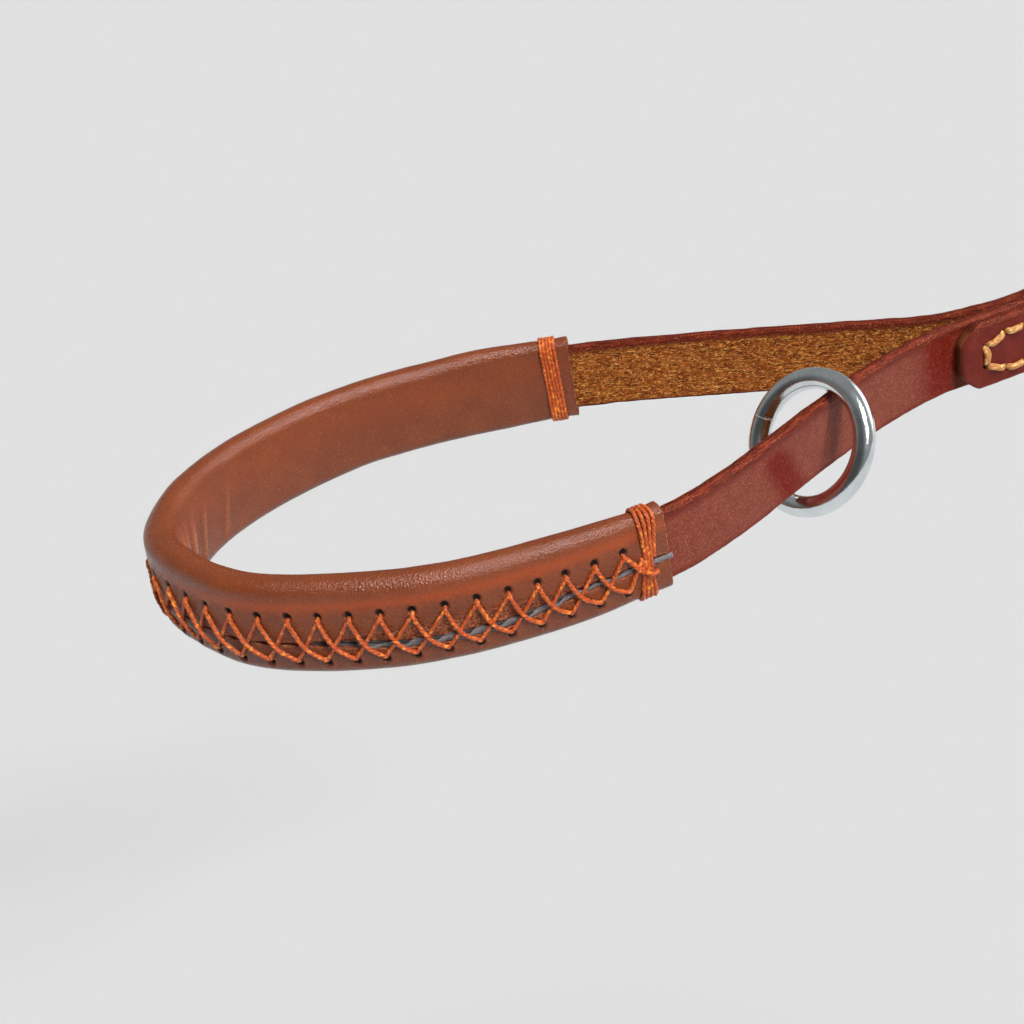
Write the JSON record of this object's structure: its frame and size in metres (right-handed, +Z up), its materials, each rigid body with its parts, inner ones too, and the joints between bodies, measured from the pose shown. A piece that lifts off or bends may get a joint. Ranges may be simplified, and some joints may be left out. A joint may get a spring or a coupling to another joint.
{
  "type": "training leash",
  "caption": "Leather training leash handle: laced padded hand loop, loose accessory ring, stitched lap and a swivel bolt snap that clips to a collar.",
  "frame": {"origin": "inner face of the padded handle at the closed end of the hand loop, at half the strap's width, where the hand holds it", "axes": "+X from the closed end of the loop towards the snap, along the lap; +Z up along the strap's width, since the strap stands on edge; +Y completes the frame"},
  "size_m": [0.3393, 0.1106, 0.0315],
  "materials": {
    "bridle_leather": "semi-gloss grain side, rough golden brown flesh side",
    "cover_leather": "smooth satin nappa",
    "felt": "matt pressed felt",
    "lacing_thread": "waxed twisted thread",
    "stitch_thread": "waxed braided thread",
    "nickel": "polished nickel plate",
    "spring_steel": "drawn wire"
  },
  "bodies": {
    "leash": {"leash_strap": "bridle_leather", "handle_padding": "felt", "handle_cover": "cover_leather", "cover_lacing": "lacing_thread", "front_whipping": "lacing_thread", "rear_whipping": "lacing_thread", "lap_stitching": "stitch_thread"},
    "ring": {"accessory_ring": "nickel"},
    "eye": {"snap_eye": "nickel"},
    "hook": {"swivel_stud": "nickel", "hook_body": "nickel", "bolt_spring": "spring_steel"},
    "bolt": {"snap_bolt": "nickel", "thumb_stud": "nickel"}
  },
  "joints": [
    {"name": "ring_slide", "type": "slide", "parent": "leash", "child": "ring", "axis": [0.9207, 0.3903, 0], "range_m": [-0.022, 0.018]},
    {"name": "eye_pivot", "type": "hinge", "parent": "leash", "child": "eye", "pos_m": [0.27, -0.0286, 0], "axis": [0, 0, 1], "range_deg": [-60, 60]},
    {"name": "hook_swivel", "type": "hinge", "parent": "eye", "child": "hook", "pos_m": [0.285, -0.0286, 0], "axis": [1, 0, 0], "continuous": true},
    {"name": "bolt_slide", "type": "slide", "parent": "hook", "child": "bolt", "axis": [1, 0, 0], "range_m": [-0.009, 0], "stiffness_N_per_m": 250, "springref_m": 0.006, "deforming": ["bolt_spring"]}
  ]
}
